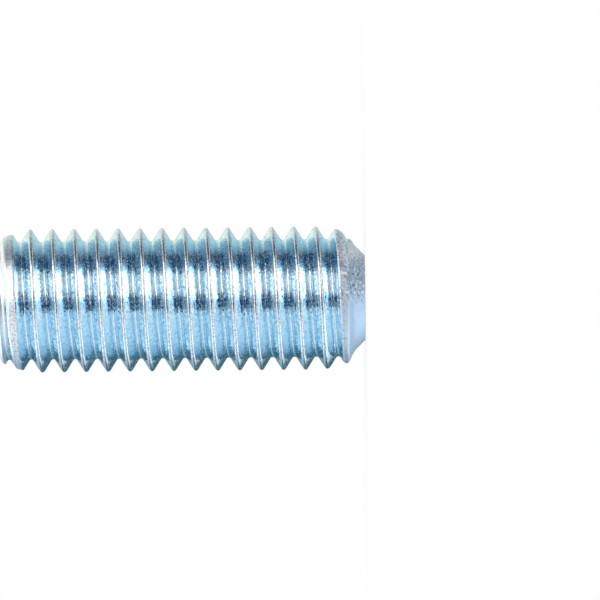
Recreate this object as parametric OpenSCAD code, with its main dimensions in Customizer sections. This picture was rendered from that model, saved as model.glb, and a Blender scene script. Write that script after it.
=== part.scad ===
// Socket set screw with a cup point, M10 x 1.5 x 25 mm.
// It stands on its point: the origin is on the axis, in the plane of the point's rim, and +Z is up.

/* [Thread] */
// Length of the screw from the point's rim to the socket end
length = 25; // [16:1:40]
// Nominal diameter of the thread
thread_d = 10; // [9.5:0.5:12]
// Distance from one crest to the next
pitch = 1.5; // [1.25:0.25:1.75]
// Angle between the two flanks of a groove
flank_angle = 60; // [55:1:65]
// Width of the flat along a crest
crest_flat = 0.2; // [0.15:0.05:0.3]
// Width of the flat along the bottom of a groove
root_flat = 0.3; // [0.2:0.05:0.35]
// How much smaller the crests are than the nominal diameter
crest_allowance = 0.2; // [0.05:0.05:0.3]
// Height of a crest above the rim on the +X side
thread_start = 0.35; // [0:0.05:1.4]

/* [Socket end] */
// Size of the hexagon key across its flats
key_size = 5; // [4:0.5:5.5]
// Play between the key and the socket, across the flats
key_play = 0.05; // [0.02:0.01:0.1]
// Depth of the hexagon below the end face
socket_depth = 6; // [4:0.5:8]
// Turn of the hexagon about the axis
socket_turn = 12; // [0:1:59]
// Angle of the cone at the bottom of the socket
floor_angle = 120; // [110:5:150]
// Diameter of the dimple in the middle of the socket floor
dimple_d = 1.3; // [0.8:0.1:1.8]
// Width of the countersink outside the corners of the hexagon
countersink_width = 0.6; // [0.3:0.05:0.7]
// Angle of the countersink
countersink_angle = 100; // [90:5:120]
// Radius of the edge around the end face
end_round = 0.8; // [0.3:0.05:0.9]
// Distance from the end face over which the crests come up to their full height
lead_length = 2.1; // [1.4:0.1:2.6]
// Height of the first crest over the bottom of the groove
lead_height = 0.28; // [0.16:0.02:0.4]

/* [Point end] */
// Outer diameter of the flat rim
rim_d = 5.8; // [5:0.2:6.4]
// Width of the flat rim
rim_width = 0.4; // [0.2:0.05:0.6]
// Angle between the point's cone and the axis
point_angle = 45; // [40:1:50]
// Depth below the bottom of the groove at which the thread starts to rise from the cone
start_depth = 0.18; // [0.1:0.02:0.3]
// Angle between the start of the thread and the axis
start_angle = 73; // [60:1:80]
// Height of the first crest over the bottom of the groove, at the point
start_height = 0.38; // [0.2:0.02:0.5]
// Distance from the start of the thread over which the crests come up to their full height
start_length = 1.4; // [1:0.1:2]
// Angle of the cone inside the cup
cup_angle = 120; // [100:5:130]

/* [Hidden] */

// Roundness of the turned faces, flats in one turn of the thread, and steps in the rounded end
$fn = 64;
turn_flats = 36;
round_steps = 6;
// Slack by which cutters and the thread reach past the faces they cut
past = 0.5;

crest_r = (thread_d - crest_allowance) / 2;
flank_run = (pitch - crest_flat - root_flat) / 2;
root_r = crest_r - flank_run / tan(flank_angle / 2);

// One pitch of the thread: the height of each corner above the crest's lower edge, and its radius
profile = [
    [0, crest_r],
    [crest_flat, crest_r],
    [crest_flat + flank_run, root_r],
    [crest_flat + flank_run + root_flat, root_r],
];
corners = len(profile);

// Whole turns from thread_start that take the thread past both ends of the screw
first_turn = -ceil((thread_start + past) / pitch) - 1;
last_turn = ceil((length + past - thread_start) / pitch);
steps = (last_turn - first_turn) * turn_flats;

function thread_height(step, corner) =
    thread_start - crest_flat / 2 + profile[corner][0] + pitch * (first_turn + step / turn_flats);

function thread_point(step, corner) =
    let (r = profile[corner][1], a = 360 * step / turn_flats)
    [r * cos(a), r * sin(a), thread_height(step, corner)];

// Index of a thread point, where the corner after the last one is the first of the next turn
function thread_index(step, corner) =
    corner < corners ? step * corners + corner : (step + turn_flats) * corners;

// Rod with a right-hand thread: the profile winds up the axis, and a fan of flats closes each end
module thread_rod() {
    points = [
        for (step = [0:steps + turn_flats])
            for (corner = [0:corners - 1])
                thread_point(step, corner)
    ];
    foot = len(points);
    head = foot + 1;
    middles = [
        [0, 0, thread_height(turn_flats / 2, 0)],
        [0, 0, thread_height(steps + turn_flats / 2, 0)],
    ];
    wall = [
        for (step = [0:steps - 1])
            for (corner = [0:corners - 1])
                let (
                    a = thread_index(step, corner),
                    b = thread_index(step + 1, corner),
                    c = thread_index(step + 1, corner + 1),
                    d = thread_index(step, corner + 1)
                )
                each [[a, d, c], [a, c, b]]
    ];
    turn_fans = [
        for (step = [0:turn_flats - 1])
            each [
                [foot, thread_index(step, 0), thread_index(step + 1, 0)],
                [head, thread_index(steps + step + 1, 0), thread_index(steps + step, 0)],
            ]
    ];
    profile_fans = [
        for (corner = [0:corners - 1])
            each [
                [foot, thread_index(0, corner + 1), thread_index(0, corner)],
                [head, thread_index(steps, corner), thread_index(steps, corner + 1)],
            ]
    ];
    polyhedron(concat(points, middles), concat(wall, turn_fans, profile_fans));
}

// Turned outline that trims the thread: rim, cone of the point, its start on the cone, lead, rounded end
module outline() {
    rim_r = rim_d / 2;
    wide_r = crest_r + past;
    cone_r = root_r - start_depth;
    cone_h = (cone_r - rim_r) / tan(point_angle);
    start_r = root_r + start_height;
    start_h = cone_h + (start_r - cone_r) / tan(start_angle);
    lead_r = root_r + lead_height;
    lead_angle = atan((crest_r - lead_r) / lead_length);
    face_r = lead_r - end_round * (1 - sin(lead_angle)) / cos(lead_angle);
    round_edge = [
        for (step = [0:round_steps])
            let (a = lead_angle + (90 - lead_angle) * step / round_steps)
            [face_r + end_round * cos(a), length - end_round * (1 - sin(a))]
    ];
    rotate_extrude()
        polygon(concat(
            [
                [0, 0],
                [rim_r, 0],
                [cone_r, cone_h],
                [start_r, start_h],
                [wide_r, start_h + start_length * (wide_r - start_r) / (crest_r - start_r)],
                [wide_r, length - (wide_r - lead_r) / tan(lead_angle)],
            ],
            round_edge,
            [[0, length]]
        ));
}

// Hexagon socket, with the cone of its floor at the depth where the flats end
module hexagon() {
    key_sides = 6;
    corner_r = (key_size + key_play) / 2 / cos(180 / key_sides);
    floor_slope = tan(floor_angle / 2);
    floor_deep = corner_r / floor_slope;
    mouth_slope = tan(countersink_angle / 2);
    mouth_r = corner_r + countersink_width;
    mouth_deep = mouth_r / mouth_slope;
    dimple_r = dimple_d / 2;
    rotate(socket_turn)
        intersection() {
            translate([0, 0, -floor_deep])
                cylinder(r = corner_r, h = floor_deep + socket_depth + past, $fn = key_sides);
            rotate_extrude()
                polygon([
                    [0, -floor_deep],
                    [corner_r + past, past / floor_slope],
                    [corner_r + past, socket_depth + past],
                    [0, socket_depth + past],
                ]);
        }
    translate([0, 0, socket_depth - mouth_deep])
        cylinder(r1 = 0, r2 = mouth_r + past * mouth_slope, h = mouth_deep + past);
    translate([0, 0, dimple_r / floor_slope - floor_deep])
        sphere(r = dimple_r);
}

// Hollow cone inside the rim of the point
module cup() {
    cup_r = rim_d / 2 - rim_width;
    cup_slope = tan(cup_angle / 2);
    translate([0, 0, -past])
        cylinder(r1 = cup_r + past * cup_slope, r2 = 0, h = past + cup_r / cup_slope);
}

module set_screw() {
    color("lightsteelblue")
        difference() {
            intersection() {
                thread_rod();
                outline();
            }
            translate([0, 0, length - socket_depth]) hexagon();
            cup();
        }
}

set_screw();
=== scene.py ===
import math

import bpy
import bmesh
from mathutils import Matrix, Vector


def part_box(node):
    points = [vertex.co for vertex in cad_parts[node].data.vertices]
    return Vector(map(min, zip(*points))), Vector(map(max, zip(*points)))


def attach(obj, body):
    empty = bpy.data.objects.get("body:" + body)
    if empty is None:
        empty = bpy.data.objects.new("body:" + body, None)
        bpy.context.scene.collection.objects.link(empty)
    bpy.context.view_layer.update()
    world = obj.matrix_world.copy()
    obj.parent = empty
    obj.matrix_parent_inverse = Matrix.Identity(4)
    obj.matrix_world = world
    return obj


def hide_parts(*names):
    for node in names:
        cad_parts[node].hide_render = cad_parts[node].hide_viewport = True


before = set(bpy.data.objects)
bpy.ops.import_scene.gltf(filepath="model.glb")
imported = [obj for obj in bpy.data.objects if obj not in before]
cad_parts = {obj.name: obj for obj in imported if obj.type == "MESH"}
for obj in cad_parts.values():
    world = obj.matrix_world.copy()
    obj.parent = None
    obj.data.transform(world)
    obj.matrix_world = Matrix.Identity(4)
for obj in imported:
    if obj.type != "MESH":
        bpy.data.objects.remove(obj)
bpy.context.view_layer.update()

mm = 0.001
scene = bpy.context.scene
scene.view_settings.view_transform = "Standard"


# shader maths: a wire is one output socket, and an expression on wires adds nodes to its tree
class Wire:
    def __init__(self, tree, socket=None):
        self.tree = tree
        self.socket = socket

    def node(self, kind, settings=None, sockets=None, output=0):
        made = self.tree.nodes.new("ShaderNode" + kind)
        for name, value in (settings or {}).items():
            if name == "stops":  # a ramp's stops are (place, colour)
                for place, colour in value[1:-1]:
                    made.color_ramp.elements.new(place).color = colour
                for end, (place, colour) in ((0, value[0]), (-1, value[-1])):
                    made.color_ramp.elements[end].position = place
                    made.color_ramp.elements[end].color = colour
            else:
                setattr(made, name, value)
        for name, value in (sockets or {}).items():
            if isinstance(value, Wire):
                self.tree.links.new(value.socket, made.inputs[name])
            else:
                made.inputs[name].default_value = value
        return Wire(self.tree, made.outputs[output]) if made.outputs else None

    def maths(self, operation, *values):
        return self.node("Math", {"operation": operation}, dict(enumerate(values)))

    def __add__(self, other):
        return self.maths("ADD", self, other)

    def __radd__(self, other):
        return self.maths("ADD", other, self)

    def __sub__(self, other):
        return self.maths("SUBTRACT", self, other)

    def __rsub__(self, other):
        return self.maths("SUBTRACT", other, self)

    def __mul__(self, other):
        return self.maths("MULTIPLY", self, other)

    def __rmul__(self, other):
        return self.maths("MULTIPLY", other, self)

    def __truediv__(self, other):
        return self.maths("DIVIDE", self, other)

    def __rtruediv__(self, other):
        return self.maths("DIVIDE", other, self)

    def __pow__(self, other):
        return self.maths("POWER", self, other)

    def __rpow__(self, other):
        return self.maths("POWER", other, self)

    def either(self, other):  # the larger of two masks
        return self.maths("MAXIMUM", self, other)

    def above(self, low, high):  # smooth step from 0 at low to 1 at high
        return self.node("MapRange", {"interpolation_type": "SMOOTHSTEP"},
                         {"Value": self, "From Min": low, "From Max": high})

    def past(self, base, band):  # the same, with low and high measured from base
        return self.above(base + band[0], base + band[1])

    def parts(self):  # x, y and z of a place, or the three draws in a colour
        made = self.node("SeparateXYZ", None, {0: self}).socket.node
        return [Wire(self.tree, output) for output in made.outputs]

    def noise(self, size, detail=2.0, roughness=0.5):  # self is the place
        return self.node("TexNoise", None,
                         {"Vector": self, "Scale": 1 / size, "Detail": detail, "Roughness": roughness})

    def vector(self, operation, *values):
        return self.node("VectorMath", {"operation": operation}, dict(enumerate(values)))

    def ramp(self, stops):
        return self.node("ValToRGB", {"stops": stops}, {0: self})

    def tinted(self, base, colour):  # self is how much of colour covers base
        return self.node("Mix", {"data_type": "RGBA"}, {0: self, 6: base, 7: colour}, 2)


def newMaterial(name):
    material = bpy.data.materials.new(name)
    material.use_nodes = True
    material.node_tree.nodes.clear()
    return material, Wire(material.node_tree)


# the screw, in millimetres and degrees; its length and its crests come from the frame
screw = {
    "columns": 160,  # faces round the axis
    "pitch": 1.5,
    "crestStart": 0.35,  # height of a crest over the rim, on the +X side
    "flankAngle": 32,  # each flank, from the plane across the axis
    "crestRound": 0.145,
    "rootRound": 0.21,
    "arcSteps": 3,  # rows in half a crest or half a root
    "flankSteps": 6,
    "spareTurns": 2,  # turns of rows beyond each end, so that every column reaches rim and face
    "trimRound": 0.05,  # softness where the lead trims the thread
    "pointRound": 0.28,  # the same on the first crest at the point
    "rimRadius": 2.9,
    "rimWidth": 0.4,
    "pointAngle": 45,
    "startDepth": 0.18,  # where the thread starts on the cone, below the roots
    "startAngle": 73,
    "startHeight": 0.43,  # of the first crest at the point, over the roots, before it is rounded
    "startLength": 1.4,
    "startRound": 0.75,  # softness where the start meets the cone
    "cupAngle": 120,
    "cupTip": ((0.12, 0.88), (0, 0.9)),  # how the cup's cone ends, in shares of its radius and depth
    "leadLength": 2.1,
    "leadHeight": 0.28,
    "endRound": 0.8,
    "keyFlats": 5.05,
    "socketDepth": 6.0,
    "socketTurn": 12,
    "floorAngle": 120,
    "dimpleRadius": 0.65,
    "dimpleDepth": 0.45,
    "dimpleSection": ((1, 0), (0.86, 0.6), (0.5, 1), (0, 1)),  # in shares of its radius and depth
    "countersinkWidth": 0.6,
    "countersinkAngle": 100,
    "edgeRound": 0.07,
    "edgeShare": 0.45,  # the most of a side that one soft corner takes
    "edgeSteps": 3,
    "sharpAngle": 50,  # edges over this angle stay sharp in the shading
}
lowest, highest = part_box("set_screw")
screwLength = (highest.z - lowest.z) / mm
crestRadius = (highest.x - lowest.x) / 2 / mm
flankSlope = 1 / math.tan(math.radians(screw["flankAngle"]))
# the flanks would meet this much over a rounded crest, and under a rounded root, for each mm of its radius
capRise = 1 / math.sin(math.radians(screw["flankAngle"])) - 1
rootRadius = crestRadius + (screw["crestRound"] + screw["rootRound"]) * capRise
rootRadius -= screw["pitch"] / 2 * flankSlope

# the turned outline at the point: its cone, a steep start of the thread, then crests that rise to full height
coneSlope = math.tan(math.radians(screw["pointAngle"]))
coneRadius = rootRadius - screw["startDepth"]
coneTop = (coneRadius - screw["rimRadius"]) / coneSlope
startSlope = math.tan(math.radians(screw["startAngle"]))
startRadius = rootRadius + screw["startHeight"]
startTop = coneTop + (startRadius - coneRadius) / startSlope
riseSlope = (crestRadius - startRadius) / screw["startLength"]

# and at the socket end: a lead cone, then a rounded edge up to the face
leadRadius = rootRadius + screw["leadHeight"]
leadSlope = (crestRadius - leadRadius) / screw["leadLength"]
leadAngle = math.atan(leadSlope)
faceRadius = leadRadius - screw["endRound"] * (1 - math.sin(leadAngle)) / math.cos(leadAngle)
roundMiddle = screwLength - screw["endRound"]
roundStart = roundMiddle + screw["endRound"] * math.sin(leadAngle)
roundStartRadius = faceRadius + screw["endRound"] * math.cos(leadAngle)
roundLength = screw["endRound"] * (math.pi / 2 - leadAngle)

hexSide = math.tau / 6  # angle that one side of the hexagon takes
cornerRadius = screw["keyFlats"] / 2 / math.cos(hexSide / 2)
mouthRadius = cornerRadius + screw["countersinkWidth"]


def threadRadius(offset):  # offset along the axis from a crest's middle
    pitch, top, foot = screw["pitch"], screw["crestRound"], screw["rootRound"]
    tangent = math.cos(math.radians(screw["flankAngle"]))
    offset = abs((offset + pitch / 2) % pitch - pitch / 2)
    toRoot = pitch / 2 - offset
    if offset < top * tangent:
        return crestRadius - top + math.sqrt(top ** 2 - offset ** 2)
    if toRoot < foot * tangent:
        return rootRadius + foot - math.sqrt(foot ** 2 - toRoot ** 2)
    return crestRadius + top * capRise - offset * flankSlope


def softMin(a, b, width):
    near = max(width - abs(a - b), 0) / width
    return min(a, b) - near * near * width / 4


def outlineRadius(height):
    cone = screw["rimRadius"] + height * coneSlope
    start = coneRadius + (height - coneTop) * startSlope
    rise = startRadius + (height - startTop) * riseSlope
    point = softMin(-softMin(-cone, -start, screw["startRound"]), rise, screw["pointRound"])
    if height < roundStart:
        end = roundStartRadius + (roundStart - height) * leadSlope
    else:
        climb = min(height - roundMiddle, screw["endRound"])
        end = faceRadius + math.sqrt(screw["endRound"] ** 2 - climb ** 2)
    return min(point, end)


def profileRows():  # places of the rows over one pitch, from a crest's middle
    pitch, top, foot = screw["pitch"], screw["crestRound"], screw["rootRound"]
    widest = math.radians(90 - screw["flankAngle"])
    angles = [widest * step / screw["arcSteps"] for step in range(screw["arcSteps"] + 1)]
    crest = [top * math.sin(angle) for angle in angles]
    root = [pitch / 2 - foot * math.sin(angle) for angle in reversed(angles)]
    steps = screw["flankSteps"]
    flank = [crest[-1] + (root[0] - crest[-1]) * step / steps for step in range(1, steps)]
    down = crest + flank + root
    return down + [pitch - place for place in reversed(down[1:-1])]


def softCorners(points):  # a section after its first point, each corner taken off by a short curve
    section = []
    steps = screw["edgeSteps"]
    for before, corner, after in zip(points, points[1:], points[2:]):
        a, b, c = Vector(before), Vector(corner), Vector(after)
        shorter = min((a - b).length, (c - b).length)
        reach = min(screw["edgeRound"], shorter * screw["edgeShare"])
        start = b + (a - b).normalized() * reach
        stop = b + (c - b).normalized() * reach
        for step in range(steps + 1):
            t = step / steps
            section.append(start * (1 - t) ** 2 + b * 2 * t * (1 - t) + stop * t ** 2)
    return section + [points[-1]]


def hexRadius(angle):
    across = (angle - math.radians(screw["socketTurn"])) % hexSide - hexSide / 2
    return screw["keyFlats"] / 2 / math.cos(across)


def socketSection(angle):  # (radius, height) from the end face down to the middle of the socket floor
    wall = hexRadius(angle)
    mouthSlope = math.tan(math.radians(screw["countersinkAngle"] / 2))
    floorSlope = math.tan(math.radians(screw["floorAngle"] / 2))
    floorHeight = screwLength - screw["socketDepth"]
    dimpleRadius, dimpleDepth = screw["dimpleRadius"], screw["dimpleDepth"]
    dimpleTop = floorHeight - (cornerRadius - dimpleRadius) / floorSlope
    return softCorners([
        (faceRadius, screwLength),
        (mouthRadius, screwLength),
        (wall, screwLength - (mouthRadius - wall) / mouthSlope),
        (wall, floorHeight - (cornerRadius - wall) / floorSlope),
        *[(dimpleRadius * out, dimpleTop - dimpleDepth * down) for out, down in screw["dimpleSection"]],
    ])


def cupSection():  # (radius, height) from the rim's outer edge up to the middle of the cup
    inner = screw["rimRadius"] - screw["rimWidth"]
    deep = inner / math.tan(math.radians(screw["cupAngle"] / 2))
    tip = [(inner * out, deep * up) for out, up in screw["cupTip"]]
    return softCorners([(screw["rimRadius"], 0), (inner, 0), *tip])


def buildScrew():
    columns, pitch = screw["columns"], screw["pitch"]
    rows = profileRows()
    turnRows = len(rows)
    half = pitch / turnRows / 2  # of a row
    topHeight = roundStart + roundLength  # the rounded edge counts by its length
    shell = bmesh.new()
    angles = [math.tau * column / columns for column in range(columns)]

    def place(angle, radius, height):
        x, y = radius * math.cos(angle), radius * math.sin(angle)
        return shell.verts.new((x * mm, y * mm, height * mm))

    def rowHeight(column, row):
        return screw["crestStart"] + pitch * (column / columns + row // turnRows) + rows[row % turnRows]

    rim = [place(angle, screw["rimRadius"], 0) for angle in angles]
    face = [place(angle, faceRadius, screwLength) for angle in angles]
    firstRow = -screw["spareTurns"] * turnRows
    lastRow = (int(topHeight / pitch) + screw["spareTurns"]) * turnRows
    grid = []
    for column, angle in enumerate(angles):
        points = {}
        for row in range(firstRow, lastRow + turnRows + 1):
            height = rowHeight(column, row)
            if height < half:
                points[row] = rim[column]
            elif height > topHeight - half:
                points[row] = face[column]
            else:
                if height > roundStart:
                    turned = leadAngle + (height - roundStart) / screw["endRound"]
                    height = roundMiddle + screw["endRound"] * math.sin(turned)
                thread = threadRadius(height - screw["crestStart"] - pitch * column / columns)
                soft = screw["pointRound"] if height < screwLength / 2 else screw["trimRound"]
                radius = softMin(thread, outlineRadius(height), soft)
                points[row] = place(angle, radius, height)
        grid.append(points)

    def addFace(*corners):
        kept = [v for i, v in enumerate(corners) if v is not corners[i - 1]]
        if len(kept) > 2:
            shell.faces.new(kept)

    for column in range(columns):
        left = grid[column]
        right = grid[(column + 1) % columns]
        shift = turnRows if column == columns - 1 else 0  # the last column meets the next turn of the first
        for row in range(firstRow, lastRow):
            addFace(left[row], right[row + shift], right[row + shift + 1], left[row + 1])

    def addSections(ring, sections, inward):
        steps = len(sections[0])
        for step in range(steps):
            if step == steps - 1:
                middle = place(0, *sections[0][step])
                following = [middle] * columns
            else:
                following = [place(angle, *section[step]) for angle, section in zip(angles, sections)]
            for i in range(columns):
                j = (i + 1) % columns
                if inward:
                    addFace(ring[i], ring[j], following[j], following[i])
                else:
                    addFace(following[i], following[j], ring[j], ring[i])
            ring = following

    addSections(face, [socketSection(angle) for angle in angles], True)
    addSections(rim, [cupSection()] * columns, False)
    mesh = bpy.data.meshes.new("setScrew")
    shell.to_mesh(mesh)
    shell.free()
    mesh.shade_smooth()
    mesh.set_sharp_from_angle(angle=math.radians(screw["sharpAngle"]))
    body = bpy.data.objects.new("setScrew", mesh)
    scene.collection.objects.link(body)
    weighted = body.modifiers.new("weightedNormals", "WEIGHTED_NORMAL")
    weighted.keep_sharp = True
    return body


# bright zinc with a pale blue passivate: silver where it is worn, with tiny crystals that face all ways.
# Sizes are in millimetres. A band is where a mask goes from none to full: on a noise, along x, y or the height,
# over the crest, lead, cone or root that it is measured from, or across a crest from its middle
zinc = {
    "blue": (0.66, 0.85, 0.965, 1),
    "deepBlue": (0.50, 0.72, 0.89, 1),
    "worn": (0.66, 0.77, 0.87, 1),
    "silver": (0.80, 0.88, 0.95, 1),
    "cone": (0.42, 0.56, 0.74, 1),
    # colour of the painted shade on the point's +X side
    "paintedSideShade": (0.36, 0.48, 0.62, 1),
    "pit": (0.34, 0.40, 0.46, 1),
    # colour of the painted shade in the pits on the point
    "dentShade": (0.15, 0.19, 0.24, 1),
    # colour of the painted glints on the pitted +X side of the point
    "glint": (0.78, 0.91, 1.0, 1),
    "edgeTint": (0.80, 0.95, 0.95, 1),
    "roughness": 0.07,
    "crestRoughness": 0.26,
    "landRoughness": 0.38,
    "coneRoughness": 0.52,
    "socketRoughness": 0.22,
    "frostRoughness": 0.4,
    "crestBand": (-0.2, -0.09),
    "crestLean": 0.35,  # the wear reaches further down the flank that faces the socket
    "wanderSize": 0.35,
    "crestWander": 0.25,  # how far the edge of the wear wanders
    "landBand": (-0.08, -0.03),
    "landStart": (-2.0, -1.8),  # from the rounded edge
    "edgeBand": (-0.08, 0.1),
    "socketBand": (-0.04, 0.04),  # from the edge of the countersink
    "socketHeight": (10.0, 12.0),
    "cupBand": (-0.1, 0.0),
    "coneBand": (-0.1, -0.04),
    "coneEnd": (0.0, 0.08),
    "ridgeBand": (-0.17, -0.08),  # the ridge is the trimmed first crest
    "ridgeStart": (-0.06, 0.0),
    "ridgeEnd": (1.2, 1.5),
    # a painted highlight on the ridge: its share of silver, and where it starts across the ridge
    "ridgeShine": 0.5,
    "shineSide": (-0.3, 0.0),
    "crystal": 0.15,  # size of a crystal
    "stretch": 1.45,  # how much longer a crystal is along the groove than across
    "crystalShare": 0.6,  # of the blue's changes, the rest comes from the streaks
    "deepBand": (0.1, 0.9),
    "tilt": (0.035, 0.28),  # how far most crystals lean, and the few that sparkle
    "tiltPower": 2.5,  # the higher it is, the fewer sparkle
    "tiltDraw": 17.3,  # makes a fresh draw for the lean from a crystal's first one
    "flankTilt": 0.12,  # share of that lean on the flanks, where the roots have all of it
    "crestTilt": 0.05,
    "rootBand": (0.1, 0.36),
    "frostBand": (0.85, 0.97),
    "rootFrost": 0.14,  # how much more of the roots is frosted
    "streak": (0.06, 2.0),  # marks of rolling along the groove: width and length
    "streakShift": 0.2,  # from one turn to the next
    "streakBand": (0.35, 0.65),
    "streakTilt": 0.5,
    "pitSize": 0.14,
    "pitBand": (0.49, 0.61),
    "pitSide": (-0.1, 0.1),  # on the ridge
    "pitShare": 0.75,
    "lineWidth": 0.07,  # fine lines that turning left on the land
    "lineRuns": 3.0,  # changes of a line in one turn
    "lineBand": (0.5, 0.68),
    "lineShare": 0.6,
    "nick": (24.42, -0.66, 0.08, 0.4),  # a dark mark on the land: height, x, half its width and length
    "nickBand": (0.3, 1.2),
    "nickSide": (-1.0, 0.0),
    "nickShare": 0.9,
    "shadeSide": (-0.3, 1.2, 2.2, 3.2),  # x where the painted shade on the point's +X side starts, is full, fades and ends; a painted highlight rises from its fade to its end
    # the mottle in that painted shade, and the least of it
    "shadeMottleSize": 0.3,
    "shadeMottleBand": (0.42, 0.6),
    "shadeLeast": 0.5,
    # painted glints and painted shade for the pitting on the point's +X side
    "pitLightSize": 0.22,
    "glintBand": (0.57, 0.65),
    "dentShadeBand": (0.34, 0.43),
    "pitLightSide": (-1.0, 0.5),
}


def zincPlate():
    material, made = newMaterial("zincPlate")
    place = made.node("TexCoord", None, None, "Object")
    x, y, height = [part / mm for part in place.parts()]
    radius = (x * x + y * y) ** 0.5
    turn = x.maths("ARCTAN2", y, x) / math.tau
    coil = (height - screw["crestStart"]) / screw["pitch"] - turn
    across = (coil.maths("FRACT", coil + 0.5) - 0.5) * screw["pitch"]  # from a crest's middle

    # the thread's crests, the turned land and the socket at one end, and the cone and its ridge at the point
    wander = (place.noise(zinc["wanderSize"] * mm, 3.0, 0.6) - 0.5) * zinc["crestWander"]
    crest = (radius + across * zinc["crestLean"] + wander).past(crestRadius, zinc["crestBand"])
    socket = (1 - radius.past(mouthRadius, zinc["socketBand"])) * height.above(*zinc["socketHeight"])
    edge = height.past(roundStart, zinc["edgeBand"]) * (1 - socket)
    overLead = radius - roundStartRadius - (roundStart - height) * leadSlope
    land = overLead.above(*zinc["landBand"]) * height.past(roundStart, zinc["landStart"])
    land = land.either(edge)
    overCone = radius - screw["rimRadius"] - height * coneSlope
    cone = overCone.above(*zinc["coneBand"]) * (1 - height.past(startTop, zinc["coneEnd"]))
    overRise = radius - startRadius - (height - startTop) * riseSlope
    ridge = overRise.above(*zinc["ridgeBand"]) * height.past(startTop, zinc["ridgeStart"])
    ridge = ridge * (1 - height.past(startTop, zinc["ridgeEnd"]))
    point = cone.either(ridge)
    turned = land.either(point)
    deepest = 1 - radius.past(rootRadius, zinc["rootBand"])

    # crystals and streaks make the blue lighter and darker
    grain = place.vector("MULTIPLY", place, (1, 1, zinc["stretch"]))
    crystal = grain.node("TexVoronoi", None, {"Vector": grain, "Scale": 1 / (zinc["crystal"] * mm)}, "Color")
    leanDraw, frostDraw, shadeDraw = crystal.parts()
    wide, long = zinc["streak"]
    along = turn.node("CombineXYZ", None, {
        0: across / wide,
        1: turn * (math.tau * crestRadius / long),
        2: coil * zinc["streakShift"],
    })
    streaks = along.noise(1.0)
    share = zinc["crystalShare"]
    deep = shadeDraw * share + streaks.above(*zinc["streakBand"]) * (1 - share)
    deep = deep.above(*zinc["deepBand"]) * (1 - turned)
    frost = (frostDraw + deepest * zinc["rootFrost"]).above(*zinc["frostBand"])
    frost = frost * (1 - turned.either(crest))

    # pits on the crests, turning lines and a nick on the land
    pits = place.noise(zinc["pitSize"] * mm, 2.0, 0.6).above(*zinc["pitBand"])
    pits = pits * crest.either(land).either(ridge * across.above(*zinc["pitSide"])) * (1 - edge)
    lines = turn.node("CombineXYZ", None, {
        0: height / zinc["lineWidth"],
        1: turn * zinc["lineRuns"],
        2: radius / zinc["lineWidth"],
    })
    lines = lines.noise(1.0, 1.0).above(*zinc["lineBand"]) * land
    nickHeight, nickX, nickWidth, nickLength = zinc["nick"]
    nickUp = (height - nickHeight) / nickWidth
    nickAlong = (x - nickX) / nickLength
    nick = 1 - (nickUp * nickUp + nickAlong * nickAlong).above(*zinc["nickBand"])
    nick = nick * (1 - y.above(*zinc["nickSide"])) * land
    marks = (lines * zinc["lineShare"]).either(nick * zinc["nickShare"]).either(pits * zinc["pitShare"])

    # the point's +X side gets mottled painted shade, with a painted highlight beyond it where x is largest, and
    # painted glints and painted shade in its pits
    shadeStart, shadeFull, shadeFade, shadeEnd = zinc["shadeSide"]
    # a painted highlight on the point where x is largest
    topHighlight = x.above(shadeFade, shadeEnd)
    paintedSideShade = place.noise(zinc["shadeMottleSize"] * mm, 4.0, 0.65).above(*zinc["shadeMottleBand"])
    paintedSideShade = zinc["shadeLeast"] + paintedSideShade * (1 - zinc["shadeLeast"])
    paintedSideShade = paintedSideShade * point * x.above(shadeStart, shadeFull) * (1 - topHighlight)
    # one noise gives both the painted glints and the painted shade in the pits
    pitLightNoise = grain.noise(zinc["pitLightSize"] * mm, 2.0, 0.6)
    pitLightArea = point * x.above(*zinc["pitLightSide"])
    # painted glints
    paintedGlints = pitLightNoise.above(*zinc["glintBand"]) * pitLightArea
    # painted shade in the pits
    paintedDentShade = (1 - pitLightNoise.above(*zinc["dentShadeBand"])) * pitLightArea
    # a painted highlight on the half of the ridge that faces the socket
    paintedShine = ridge * across.above(*zinc["shineSide"]) * zinc["ridgeShine"]

    colour = deep.tinted(zinc["blue"], zinc["deepBlue"])
    # on the point some of these tones are painted light: painted shade on its +X side, painted highlights, and
    # painted glints and painted shade in its pits
    for mask, tone in (
            (crest.either(land), "worn"), (edge, "silver"), (point, "cone"), (paintedShine, "silver"), (paintedSideShade, "paintedSideShade"),
            (point * topHighlight, "silver"), (paintedGlints, "glint"), (marks, "pit"), (paintedDentShade, "dentShade")):
        colour = mask.tinted(colour, zinc[tone])
    roughness = zinc["roughness"]
    for mask, level in (
            (crest, "crestRoughness"), (land, "landRoughness"), (point, "coneRoughness"),
            (frost, "frostRoughness"), (socket, "socketRoughness")):
        roughness = roughness + mask * (zinc[level] - roughness)

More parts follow.
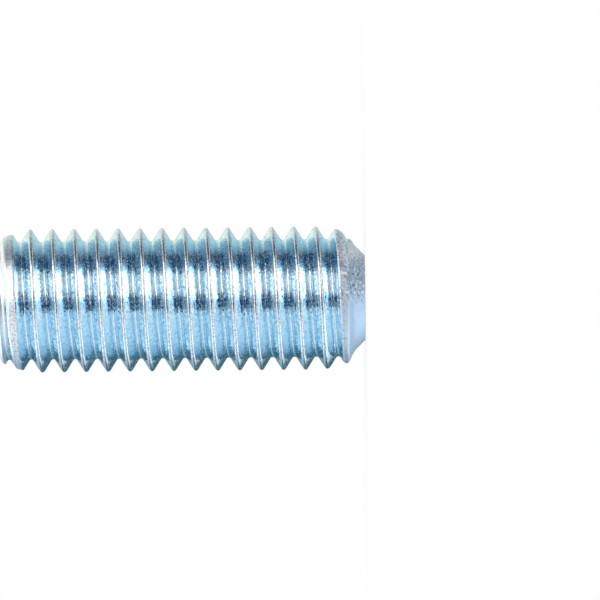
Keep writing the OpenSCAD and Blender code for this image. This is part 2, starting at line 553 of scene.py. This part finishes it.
    # crystals lean most at the bottom of the groove, and not in the socket or the cup
    cup = 1 - radius.past(screw["rimRadius"] - screw["rimWidth"], zinc["cupBand"])
    draw = leanDraw * zinc["tiltDraw"]
    draw = draw.maths("FRACT", draw) ** zinc["tiltPower"]
    draw = draw * (zinc["flankTilt"] + deepest * (1 - zinc["flankTilt"])) * (1 - socket.either(cup))
    least, most = zinc["tilt"]
    lean = least + crest * zinc["crestTilt"] + draw * (most - least)
    facet = crystal.vector("SUBTRACT", crystal, (0.5, 0.5, 0.5))
    facet = facet.node("VectorMath", {"operation": "SCALE"}, {0: facet, "Scale": lean})
    rolled = (streaks - 0.5) * (1 - crest.either(turned).either(socket)) * zinc["streakTilt"]
    facet = facet.vector("ADD", facet, rolled.node("CombineXYZ", None, {2: rolled}))
    facet = facet.vector("ADD", facet, made.node("NewGeometry", None, None, "Normal"))
    facet = facet.vector("NORMALIZE", facet)
    shader = made.node("BsdfPrincipled", None, {
        "Base Color": colour,
        "Metallic": 1.0,
        "Roughness": roughness,
        "Specular Tint": zinc["edgeTint"],
        "Normal": facet,
    })
    made.node("OutputMaterial", None, {"Surface": shader})
    return material


print("screw: building")
setScrew = buildScrew()
setScrew.data.materials.append(zincPlate())
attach(setScrew, "root")
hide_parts("set_screw")
print("screw:", len(setScrew.data.polygons), "faces")

# the studio, in metres and degrees; angles run round the screw from the camera's side towards +X
studio = {
    "white": (1, 1, 1, 1),
    "floorPaint": (0.95, 0.95, 0.95, 1),
    "floorRadius": 4.0,
    "floorSides": 64,
    "floorDrop": 0.00001,  # below the rim
    "floorShade": 0.3,  # share of the floor's brightness near the screw that takes the shadow
    "shadeReach": (0.012, 0.06),
}
softbox = {"angles": (-3.5, 56), "heights": (0.0, 0.30), "distance": 0.38, "radiance": 1.0}

# a painted tent round the screw that only shows in its gloss: bands from the bottom up, each with the height
# where it takes over from the band below, and its tones by angle, grey or coloured
tent = {
    "distance": 0.40,
    "reach": 1.60,  # as far down as up
    "sides": 90,
    "brightest": 5.0,
    "bands": [
        ("under", None, [
            (-180, 1.5), (-150, 2.2), (-110, 2.2), (-60, 1.05), (-24, 1.25), (-6, 1.45), (8, 0.95),
            (50, 0.8), (66, 0.3), (88, 0.6), (104, 0.18), (128, 0.18), (150, 0.6), (180, 1.3),
        ]),
        ("near", (-0.72, -0.64), [
            (-180, 1.3), (-150, 1.2), (-122, 2.0), (-91, (2.3, 2.15, 2.0)), (-57, (1.6, 1.5, 1.4)),
            (-22, (1.3, 1.2, 1.12)), (-17, (0.62, 0.54, 0.48)), (-6, (0.62, 0.54, 0.48)),
            (6, (1.6, 1.4, 1.25)), (16, (2.8, 2.2, 1.8)), (46, (2.8, 2.2, 1.8)), (58, (2.5, 2.1, 1.85)),
            (70, (1.9, 1.72, 1.6)), (94, (1.4, 1.3, 1.25)), (118, (1.4, 1.35, 1.3)),
            (150, (1.3, 1.1, 0.98)), (170, (1.3, 1.15, 1.0)), (180, 1.3),
        ]),
        ("hem", (-0.47, -0.42), [
            (-180, 0.8), (-150, 1.0), (-120, 1.6), (-91, (1.03, 1.1, 1.13)), (-72, (1.0, 1.02, 1.03)),
            (-59, (1.3, 1.25, 1.2)), (-22, (1.3, 1.2, 1.12)), (-17, (0.45, 0.44, 0.43)),
            (-6, (0.45, 0.44, 0.43)), (6, (0.6, 0.55, 0.54)), (17, (1.6, 1.3, 1.2)),
            (46, (2.6, 2.0, 1.7)), (58, (2.8, 2.05, 1.8)), (66, (1.6, 1.2, 1.08)),
            (72, (0.88, 0.66, 0.58)), (80, (0.38, 0.32, 0.32)), (90, (0.28, 0.29, 0.31)), (106, 0.65),
            (118, (1.0, 0.96, 0.92)), (130, 0.6), (160, 0.6), (180, 0.8),
        ]),
        ("skirt", (-0.36, -0.29), [
            (-180, 0.7), (-160, 0.8), (-135, 1.4), (-120, 1.6), (-91, (1.05, 1.12, 1.15)),
            (-57, (0.85, 0.92, 0.96)), (-23, (0.82, 0.9, 0.94)), (-17, (0.1, 0.16, 0.24)),
            (-6, (0.1, 0.16, 0.24)), (6, (0.42, 0.41, 0.44)), (17, (1.08, 1.0, 1.02)),
            (30, (1.3, 1.12, 1.06)), (46, (1.45, 1.2, 1.08)), (59, (0.9, 0.82, 0.8)),
            (67, (0.38, 0.43, 0.5)), (76, (0.18, 0.25, 0.33)), (94, (0.18, 0.25, 0.33)), (106, 0.6),
            (118, (0.9, 0.88, 0.85)), (130, 0.45), (160, 0.45), (180, 0.7),
        ]),
        ("middle", (-0.24, -0.14), [
            (-180, (0.1, 0.17, 0.2)), (-150, (0.08, 0.16, 0.2)), (-120, (0.1, 0.24, 0.31)),
            (-91, (0.4, 0.58, 0.7)), (-57, (0.62, 0.77, 0.86)), (-25, (0.64, 0.78, 0.86)),
            (-17, (0.03, 0.09, 0.18)), (-6, (0.03, 0.09, 0.18)), (6, (0.12, 0.17, 0.22)),
            (22, (0.85, 0.7, 0.64)), (45, (0.9, 0.75, 0.68)), (57, (0.2, 0.24, 0.28)),
            (68, (0.03, 0.08, 0.14)), (96, (0.03, 0.08, 0.14)), (106, (0.2, 0.28, 0.32)),
            (120, (0.38, 0.48, 0.5)), (150, (0.85, 0.8, 0.74)), (170, 0.8), (180, 0.5),
        ]),
        ("low", (-0.01, 0.01), [
            (-180, (0.12, 0.2, 0.23)), (-150, (0.1, 0.18, 0.23)), (-122, (0.28, 0.41, 0.5)),
            (-91, (0.85, 0.9, 0.94)), (-57, 1.0), (-27, 1.05), (-19, (0.03, 0.09, 0.18)),
            (-4, (0.03, 0.09, 0.18)), (9, 0.18), (22, (0.92, 0.76, 0.68)), (45, (0.92, 0.76, 0.68)),
            (57, 0.26), (66, (0.03, 0.08, 0.14)), (96, (0.03, 0.08, 0.14)), (106, (0.26, 0.36, 0.42)),
            (120, (0.6, 0.68, 0.7)), (150, (1.1, 1.0, 0.92)), (170, (1.1, 1.0, 0.92)), (180, 0.5),
        ]),
        ("brow", (0.04, 0.1), [
            (-180, (0.3, 0.4, 0.45)), (-150, (0.4, 0.5, 0.55)), (-122, (0.6, 0.7, 0.77)), (-91, 1.05),
            (-57, 1.1), (-27, 1.1), (-19, (0.04, 0.08, 0.12)), (-4, (0.04, 0.08, 0.12)), (5, 0.34),
            (17, (1.9, 1.66, 1.52)), (51, (1.9, 1.66, 1.52)), (60, 0.8), (70, (0.14, 0.18, 0.23)),
            (96, 0.14), (106, 0.36), (120, 0.66), (150, (1.2, 1.1, 0.95)), (170, (1.2, 1.1, 0.95)),
            (180, 0.5),
        ]),
        ("high", (0.24, 0.38), [
            (-180, 2.4), (-150, 2.9), (-122, (2.0, 1.95, 1.85)), (-91, (1.35, 1.28, 1.2)),
            (-57, (1.45, 1.25, 1.12)), (-22, (1.75, 1.4, 1.18)), (-14, 1.2), (-6, 1.45), (2, 2.3),
            (10, (5.0, 4.4, 4.0)), (58, (5.0, 4.4, 4.0)), (64, (3.1, 2.95, 2.9)), (69, (1.48, 1.75, 2.0)),
            (76, (0.68, 0.8, 0.93)), (86, (0.44, 0.49, 0.53)), (96, (0.31, 0.33, 0.35)), (106, 0.48),
            (120, (0.8, 0.72, 0.6)), (150, (1.5, 1.2, 1.0)), (170, (1.5, 1.2, 1.05)), (180, 1.2),
        ]),
        ("crown", (0.42, 0.56), [
            (-180, 2.4), (-150, 2.9), (-122, (2.0, 1.95, 1.85)), (-91, (1.35, 1.28, 1.2)),
            (-57, (1.3, 1.2, 1.1)), (-22, (1.6, 1.45, 1.3)), (-14, 1.5), (-6, 1.75), (2, 2.4),
            (10, (5.0, 4.4, 4.0)), (58, (5.0, 4.4, 4.0)), (66, 3.0), (76, 1.8), (96, 1.3), (112, 0.8),
            (150, (1.5, 1.2, 1.0)), (170, (1.5, 1.2, 1.05)), (180, 1.2),
        ]),
        ("top", (0.75, 0.95), [
            (-180, 1.4), (-60, 1.3), (60, 1.4), (70, 1.0), (96, 0.8), (110, 0.5), (134, 0.5), (160, 1.0),
            (180, 1.4),
        ]),
    ],
}


def lightSeen(made):  # 1 for rays that see the background: straight, mirrored or through glass
    straight, mirrored, through = [
        made.node("LightPath", None, None, name)
        for name in ("Is Camera Ray", "Is Glossy Ray", "Is Transmission Ray")]
    return straight.either(mirrored).either(through)


def buildWorld():
    world = bpy.data.worlds.new("studio")
    scene.world = world
    world.use_nodes = True
    world.node_tree.nodes.clear()
    made = Wire(world.node_tree)
    light = made.node("Background", None, {"Color": studio["white"], "Strength": 1.0})
    made.node("OutputWorld", None, {"Surface": light})


def stagePiece(name, verts, faces, material):
    mesh = bpy.data.meshes.new(name)
    mesh.from_pydata(verts, [], faces)
    mesh.materials.append(material)
    piece = bpy.data.objects.new(name, mesh)
    scene.collection.objects.link(piece)
    return piece


def towards(angle, distance, height):
    turned = math.radians(angle)
    return Vector((math.sin(turned) * distance, -math.cos(turned) * distance, height))


def buildFloor():
    material, made = newMaterial("paleFloor")
    place = made.node("TexCoord", None, None, "Object")
    away = place.node("VectorMath", {"operation": "LENGTH"}, {0: place}, "Value")
    shade = studio["floorShade"] * (1 - away.above(*studio["shadeReach"]))
    paint = made.node("BsdfDiffuse", None, {"Color": studio["floorPaint"]})
    white = made.node("Emission", None, {"Color": studio["white"], "Strength": 1.0})
    mixed = made.node("MixShader", None, {0: lightSeen(made) * (1 - shade), 1: paint, 2: white})
    made.node("OutputMaterial", None, {"Surface": mixed})
    sides = studio["floorSides"]
    edge = [towards(360 * side / sides, studio["floorRadius"], -studio["floorDrop"]) for side in range(sides)]
    floor = stagePiece("floor", edge, [list(range(sides))], material)
    floor.visible_glossy = False  # the tent stands for it in the gloss


def tones(angle, stops):
    painted = []
    for at, tone in stops:
        colour = tone if isinstance(tone, tuple) else (tone, tone, tone)
        painted.append(((at + 180) / 360, (*[part / tent["brightest"] for part in colour], 1)))
    return ((angle + 180) / 360).ramp(painted)


def buildTent():  # a ring that is closed at the bottom and open at the top
    material, made = newMaterial("tent")
    x, y, height = made.node("TexCoord", None, None, "Object").parts()
    angle = x.maths("ARCTAN2", x, y * -1) * (180 / math.pi)
    colour = None
    for name, blend, stops in tent["bands"]:
        band = tones(angle, stops)
        colour = height.above(*blend).tinted(colour, band) if colour else band
        print("tent:", name, "band with", len(stops), "tones")
    glow = made.node("Emission", None, {"Color": colour, "Strength": tent["brightest"]})
    made.node("OutputMaterial", None, {"Surface": glow})
    sides = tent["sides"]
    verts, faces = [], []
    for side in range(sides):
        for end in (-tent["reach"], tent["reach"]):
            verts.append(towards(360 * side / sides, tent["distance"], end))
        a, b = 2 * side, 2 * ((side + 1) % sides)
        faces.append((a, a + 1, b + 1, b))
    faces.append(list(range(0, 2 * sides, 2)))
    piece = stagePiece("tent", verts, faces, material)
    piece.visible_camera = False
    piece.visible_shadow = False
    piece.visible_diffuse = False


def buildSoftbox():
    first, last = softbox["angles"]
    low, high = softbox["heights"]
    width = 2 * softbox["distance"] * math.tan(math.radians(last - first) / 2)
    lamp = bpy.data.lights.new("softbox", "AREA")
    lamp.shape = "RECTANGLE"
    lamp.size = width
    lamp.size_y = high - low
    lamp.energy = softbox["radiance"] * math.pi * width * (high - low)
    piece = bpy.data.objects.new("softbox", lamp)
    scene.collection.objects.link(piece)
    piece.location = towards((first + last) / 2, softbox["distance"], (low + high) / 2)
    piece.rotation_euler = (math.radians(90), 0, math.radians((first + last) / 2))
    piece.visible_camera = False
    piece.visible_glossy = False


buildWorld()
buildFloor()
buildTent()
buildSoftbox()
print("studio: world, floor, tent and softbox")

# the camera looks across the screw and is rolled so that the screw lies level, point to the right
camera = {
    "distance": 0.45,
    "scale": 14.62,  # pixels to a millimetre at the screw's axis
    "frame": 600,  # pixels across the picture
    "pointX": 365.0,  # pixel where the point's rim is
    "axisY": 298.1,  # pixel where the axis crosses the middle of the picture
    "roll": 0.607,  # degrees by which the point is higher than the socket end
    "sensor": 36,
    "clip": (0.01, 50),
}


def buildCamera():
    data = bpy.data.cameras.new("camera")
    data.sensor_width = camera["sensor"]
    wide = camera["frame"] / camera["scale"] * mm
    data.lens = camera["sensor"] * camera["distance"] / wide
    data.clip_start, data.clip_end = camera["clip"]
    eye = bpy.data.objects.new("camera", data)
    scene.collection.objects.link(eye)
    roll = math.radians(camera["roll"])
    right = Vector((-math.sin(roll), 0, -math.cos(roll)))
    up = Vector((math.cos(roll), 0, -math.sin(roll)))
    back = Vector((0, -1, 0))
    middle = camera["frame"] / 2
    height = (camera["pointX"] - middle) / camera["scale"] * mm
    aside = (camera["axisY"] - middle) / camera["scale"] * mm
    turn = Matrix((right, up, back)).transposed().to_4x4()
    eye.matrix_world = Matrix.Translation(Vector((aside, 0, height)) + back * camera["distance"]) @ turn
    scene.camera = eye


buildCamera()
print("camera: set")
